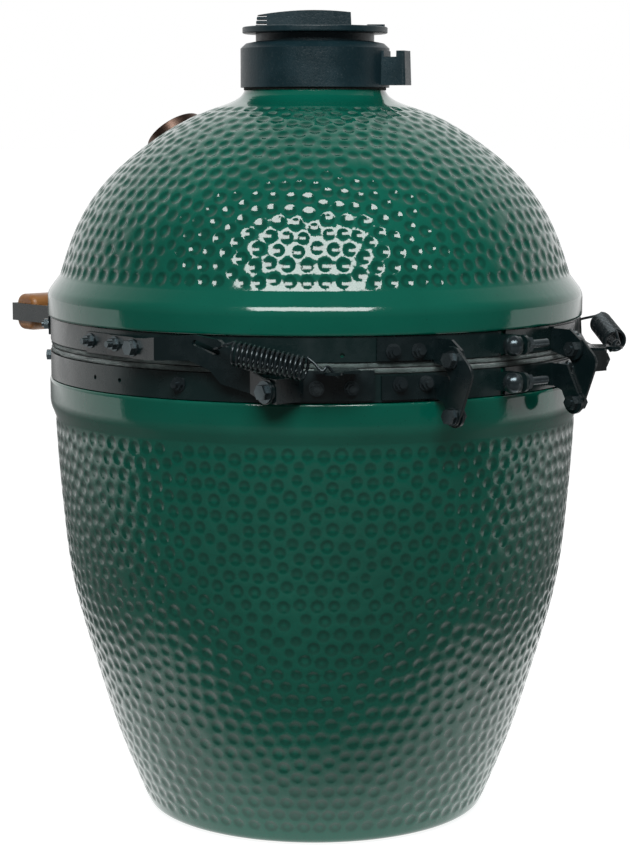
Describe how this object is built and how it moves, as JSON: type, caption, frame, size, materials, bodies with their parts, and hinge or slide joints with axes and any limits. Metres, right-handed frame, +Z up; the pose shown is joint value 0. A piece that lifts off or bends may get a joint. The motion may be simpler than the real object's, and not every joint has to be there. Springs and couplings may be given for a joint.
{
  "type": "kamado ceramic grill",
  "caption": "Egg-shaped ceramic charcoal grill with a dimpled green dome on a spring-assisted rear hinge, wooden handle, cast vent cap and sliding draft door.",
  "frame": {"origin": "on the body's vertical axis, on the flat foot at floor level", "axes": "+Z up along the body axis, front with handle and draft door toward -Y, hinge toward +Y, +X to the right of a person who stands in front"},
  "size_m": [0.5686, 0.6588, 0.8172],
  "materials": {
    "green_glaze": "glossy dark green glaze with pressed dimples",
    "fire_clay": "unglazed buff fire clay with soot",
    "grid_steel": "stainless wire, heat tinted",
    "cast_iron": "fine cast texture, black green paint",
    "felt": "mottled grey felt",
    "seal_rubber": "matt black",
    "band_black": "semi gloss black powder coat",
    "bracket_black": "semi gloss black powder coat",
    "bolt_black": "black oxide with worn edges",
    "spring_black": "black coated spring wire",
    "handle_wood": "oiled orange brown wood, fine straight grain",
    "dial_white": "white printed dial",
    "needle_red": "red enamel",
    "lens_glass": "clear",
    "bezel_steel": "stainless, heat browned",
    "door_steel": "brushed stainless"
  },
  "bodies": {
    "base": {"base_shell": "green_glaze", "fire_box": "fire_clay", "fire_ring": "fire_clay", "lower_gasket": "felt", "lower_band": "band_black", "lower_clamp_bolt": "bolt_black", "lower_clamp_nut": "bolt_black", "lower_bracket_left": "bracket_black", "lower_bracket_right": "bracket_black", "lower_bracket_bolts": "bolt_black", "side_bracket_left": "bracket_black", "side_bracket_right": "bracket_black", "side_bracket_bolts": "bolt_black", "lower_band_bolts": "bolt_black", "lower_band_buttons": "bolt_black", "rear_link_bottom_bolt_left": "bolt_black", "rear_link_bottom_bolt_right": "bolt_black", "side_arm_rear_bolt_left": "bolt_black", "side_arm_rear_bolt_right": "bolt_black", "draft_frame": "door_steel", "draft_frame_screws": "bolt_black"},
    "rear_links": {"rear_link_left": "bracket_black", "rear_link_right": "bracket_black"},
    "dome": {"dome_shell": "green_glaze", "upper_gasket": "felt", "upper_band": "band_black", "upper_clamp_bolt": "bolt_black", "upper_clamp_nut": "bolt_black", "upper_bracket_left": "bracket_black", "upper_bracket_right": "bracket_black", "upper_bracket_bolts": "bolt_black", "side_lug_left": "bracket_black", "side_lug_right": "bracket_black", "side_lug_front_bolts": "bolt_black", "side_lug_rear_bolts": "bolt_black", "rear_link_top_bolt_left": "bolt_black", "rear_link_top_bolt_right": "bolt_black", "handle_grip": "handle_wood", "handle_bracket_left": "bracket_black", "handle_bracket_right": "bracket_black", "handle_bolts": "bolt_black", "thermometer_case": "bezel_steel", "thermometer_dial": "dial_white", "thermometer_lens": "lens_glass", "thermometer_clip": "bezel_steel"},
    "side_arms": {"side_arm_left": "bracket_black", "side_arm_right": "bracket_black", "side_arm_front_bolt_left": "bolt_black", "side_arm_front_bolt_right": "bolt_black"},
    "hinge_springs": {"hinge_spring_left": "spring_black", "hinge_spring_right": "spring_black"},
    "needle": {"thermometer_needle": "needle_red"},
    "cap": {"cap_collar": "cast_iron", "cap_seal": "seal_rubber", "cap_screw": "bolt_black"},
    "damper": {"cap_damper": "cast_iron"},
    "draft_door": {"draft_door": "door_steel"},
    "draft_screen": {"draft_screen": "door_steel"},
    "cooking_grid": {"cooking_grid": "grid_steel"},
    "fire_grate": {"fire_grate": "cast_iron"}
  },
  "joints": [
    {"name": "links_on_base", "type": "hinge", "parent": "base", "child": "rear_links", "pos_m": [0, 0.288, 0.438], "axis": [-1, 0, 0], "range_deg": [0, 105.5]},
    {"name": "dome_on_links", "type": "hinge", "parent": "rear_links", "child": "dome", "pos_m": [0, 0.287, 0.49], "axis": [1, 0, 0], "range_deg": [0, 55]},
    {"name": "arms_on_base", "type": "hinge", "parent": "base", "child": "side_arms", "pos_m": [0, 0.19, 0.4625], "axis": [-1, 0, 0], "range_deg": [0, 82.5]},
    {"name": "springs_on_base", "type": "hinge", "parent": "base", "child": "hinge_springs", "pos_m": [0, 0.2418, 0.4775], "axis": [-1, 0, 0], "range_deg": [0, 41.8], "deforming": ["hinge_spring_left", "hinge_spring_right"]},
    {"name": "needle_turn", "type": "hinge", "parent": "dome", "child": "needle", "pos_m": [0.03659, -0.17215, 0.6795], "axis": [-0.1308, 0.6156, -0.7771], "range_deg": [0, 270]},
    {"name": "cap_lift", "type": "slide", "parent": "dome", "child": "cap", "axis": [0, 0, 1], "range_m": [0, 0.04]},
    {"name": "damper_turn", "type": "hinge", "parent": "cap", "child": "damper", "pos_m": [0, 0, 0.794], "axis": [0, 0, 1], "range_deg": [0, 36]},
    {"name": "draft_door_slide", "type": "slide", "parent": "base", "child": "draft_door", "axis": [1, 0, 0], "range_m": [0, 0.075]},
    {"name": "draft_screen_slide", "type": "slide", "parent": "base", "child": "draft_screen", "axis": [-1, 0, 0], "range_m": [0, 0.075]},
    {"name": "grid_lift", "type": "slide", "parent": "base", "child": "cooking_grid", "axis": [0, 0, 1], "range_m": [0, 0.024]},
    {"name": "grate_lift", "type": "slide", "parent": "base", "child": "fire_grate", "axis": [0, 0, 1], "range_m": [0, 0.06]}
  ],
  "couplings": [
    {"joint": "links_on_base", "follows": "dome_on_links", "ratio": 1.9091},
    {"joint": "arms_on_base", "follows": "dome_on_links", "ratio": 1.4909},
    {"joint": "springs_on_base", "follows": "dome_on_links", "ratio": 0.75091}
  ]
}
